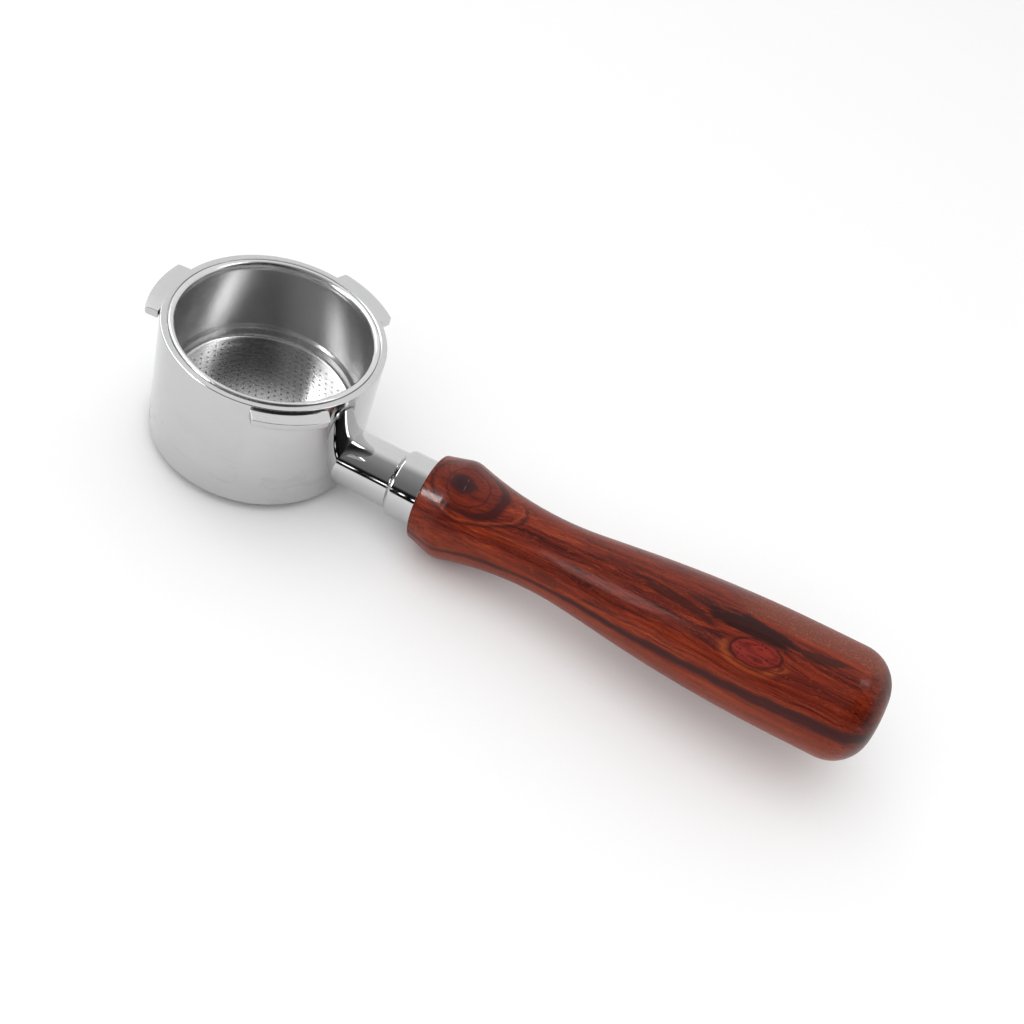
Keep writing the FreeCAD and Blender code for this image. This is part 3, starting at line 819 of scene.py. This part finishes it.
def collar_shell():
    """The loose collar with its rounded front edge."""
    return lathe(rounded([
        (COLLAR_BORE, NECK_END, 0.2),
        (COLLAR_RADIUS, NECK_END, 1.4),
        (COLLAR_RADIUS, COLLAR_END, 0.3),
        (COLLAR_BORE, COLLAR_END, 0.2),
    ], steps=8))


def stud_shell():
    """The stud with its right-hand thread, plain where it sits in the neck."""
    start, end, thread_from = 37.0, 71.4, 46.0
    major, depth, pitch, chamfer = 4.95, 0.85, 1.5, 0.9
    flank_steepness = 2.6
    around, per_turn = 64, 12
    rows = int((end - thread_from) / pitch * per_turn)
    heights = [start] + [thread_from + (end - thread_from) * k / rows for k in range(rows + 1)]
    vertices = []
    for height in heights:
        limit = major - max(0.0, chamfer - (end - height))
        for k in range(around):
            angle = 2 * math.pi * k / around
            phase = (height / pitch - k / around) % 1.0
            groove = max(0.0, 1.0 - abs(phase - 0.5) * flank_steepness)
            if height <= thread_from:
                groove = 0.0
            radius = min(limit, major - depth * groove)
            vertices.append((radius * math.cos(angle), radius * math.sin(angle), height))
    return vertices, stacked(len(heights), around)


# ---------------------------------------------------------------- studio
FLOOR_HALF = 6.0
PALE = (0.92, 0.92, 0.92, 1.0)
WHITE = (1.0, 1.0, 1.0, 1.0)

# Brightness of the room as polished metal mirrors it, and of the backdrop the camera sees.
BEHIND = 1.05
FRONT_HIGH = 0.42
FRONT_LOW = 0.2
BACKDROP = 0.95
WINDOWS = 4.0
WINDOW_ROW = math.radians(79)
WINDOW_HALF = math.radians(1.6)
WINDOW_SOFT = math.radians(0.6)

OBJECT_MIDDLE = Vector((0.07, 0.0, 0.02))
LAMP_DISTANCE = 1.2


def make_floor():
    """A wide pale floor at the object's lowest point."""
    corners = [(-FLOOR_HALF, -FLOOR_HALF, 0), (FLOOR_HALF, -FLOOR_HALF, 0),
               (FLOOR_HALF, FLOOR_HALF, 0), (-FLOOR_HALF, FLOOR_HALF, 0)]
    mesh = bpy.data.meshes.new("floor")
    mesh.from_pydata(corners, [], [(0, 1, 2, 3)])
    floor = bpy.data.objects.new("floor", mesh)
    floor.location = (0.0, 0.0, cad_low.z)
    bpy.context.scene.collection.objects.link(floor)
    g = Paint("floor")
    mesh.materials.append(g.finish(Base_Color=PALE, Roughness=0.9, Specular_IOR_Level=0.0))


def make_world():
    """Soft room light: bright behind the object, dimmer and darker on the camera's side."""
    world = bpy.data.worlds.new("studio")
    bpy.context.scene.world = world
    world.use_nodes = True
    g = Graph(world.node_tree)
    x, y, z = g.split(g.nodes.new("ShaderNodeTexCoord").outputs["Generated"])
    # The angle of a direction from straight up, towards the camera's side.
    forward = g.math("ARCTAN2", g.mul(y, -1.0), z)
    behind = g.step(forward, math.radians(4), math.radians(-30))
    sky = g.step(forward, math.radians(-15), math.radians(66), FRONT_HIGH, FRONT_LOW)
    near_dark = g.step(forward, math.radians(61), math.radians(70), 1.0, 0.06)
    right_dark = g.step(x, 0.0, 0.35, 1.0, 0.08)
    front = g.mul(g.sub(1.0, behind), g.mul(sky, near_dark), right_dark)
    panes = g.step(g.math("SINE", g.mul(x, 60.0)), 0.1, 0.6)
    windows = g.mul(g.line(forward, WINDOW_ROW, WINDOW_HALF, WINDOW_SOFT), panes, WINDOWS)
    strength = g.add(g.mul(behind, BEHIND), front, windows)
    # The camera itself sees a plain pale backdrop in every direction.
    seen = g.nodes.new("ShaderNodeLightPath").outputs["Is Camera Ray"]
    strength = g.add(g.mul(strength, g.sub(1.0, seen)), g.mul(seen, BACKDROP))
    background = g.nodes.new("ShaderNodeBackground")
    output = g.nodes.new("ShaderNodeOutputWorld")
    g.put(background.inputs["Strength"], strength)
    g.put(background.inputs["Color"], WHITE)
    g.links.new(background.outputs[0], output.inputs[0])


def softbox(name, direction, size, radiance, distance=LAMP_DISTANCE,
            mirrored=True, lights=False, wood=None):
    """A rectangular lamp of a given brightness that faces the object from a direction.

    It is seen in polished surfaces when mirrored, and it lights dull ones when lights is set.
    With wood "INCLUDE" it falls on the wooden handle alone, with "EXCLUDE" on all but the handle.
    """
    width, height = size
    data = bpy.data.lights.new(name, "AREA")
    data.shape = "RECTANGLE"
    data.size = width
    data.size_y = height
    data.energy = radiance * math.pi * width * height
    lamp = bpy.data.objects.new(name, data)
    towards = Vector(direction).normalized()
    lamp.location = OBJECT_MIDDLE + towards * distance
    lamp.rotation_mode = "QUATERNION"
    lamp.rotation_quaternion = towards.to_track_quat("Z", "Y")
    lamp.visible_glossy = mirrored
    lamp.visible_diffuse = lights
    if wood:
        chosen = bpy.data.collections.new(name + "_wood")
        chosen.objects.link(frame["nodes"]["wood_handle"])
        chosen.collection_objects[0].light_linking.link_state = wood
        lamp.light_linking.receiver_collection = chosen
    bpy.context.scene.collection.objects.link(lamp)


def make_lights():
    softbox("left_box", (-0.675, 0.0, 0.716), (1.3, 0.5), 3.2, wood="EXCLUDE")
    softbox("right_box", (0.47, 0.175, 0.865), (0.2, 0.5), 6.0)
    softbox("front_box", (-0.598, -0.709, 0.375), (0.3, 0.34), 17.0, wood="EXCLUDE")
    softbox("wood_bar", (-0.735, -0.46, 0.5), (0.18, 0.26), 48.0, wood="INCLUDE")
    softbox("wood_sheen", (-0.36, -0.69, 0.62), (0.24, 0.44), 5.5, wood="INCLUDE")
    softbox("ceiling", (-0.1, -0.5, 1.0), (3.6, 3.6), 1.3, distance=1.9,
            mirrored=False, lights=True)


# ---------------------------------------------------------------- build
chrome = polished_steel("polished_steel")
sheet_steel = satin_steel("basket_sheet")
stud_steel = plain_metal("stud_steel", (0.5, 0.5, 0.51), 0.28)
cad_materials = {
    "basket_spring": plain_metal("spring_wire", (0.5, 0.5, 0.5), 0.22),
    "threaded_insert": plain_metal("insert_brass", (0.72, 0.5, 0.2), 0.3),
    "wood_handle": hardwood("hardwood"),
}
for node_name, material in cad_materials.items():
    mesh = frame["nodes"][node_name].data
    mesh.materials.clear()
    mesh.materials.append(material)

lugs = [lug_shell(LUG_PHASE + 360 / LUG_COUNT * k) for k in range(LUG_COUNT)]
make_piece("ring_with_lugs", joined(ring_shell(), *lugs), "cup_ring",
           "head", chrome)
make_piece("pierced_basket", joined(basket_shell(), pierced_floor()), "filter_basket",
           "basket", sheet_steel)
make_piece("round_neck", neck_shell(), "neck",
           "head", chrome, on_handle=True)
make_piece("loose_collar", collar_shell(), "collar",
           "collar", chrome, on_handle=True)
make_piece("threaded_stud", stud_shell(), "handle_stud",
           "head", stud_steel, on_handle=True)

make_floor()
make_world()
make_lights()
make_camera()
bpy.context.scene.view_settings.view_transform = "Standard"
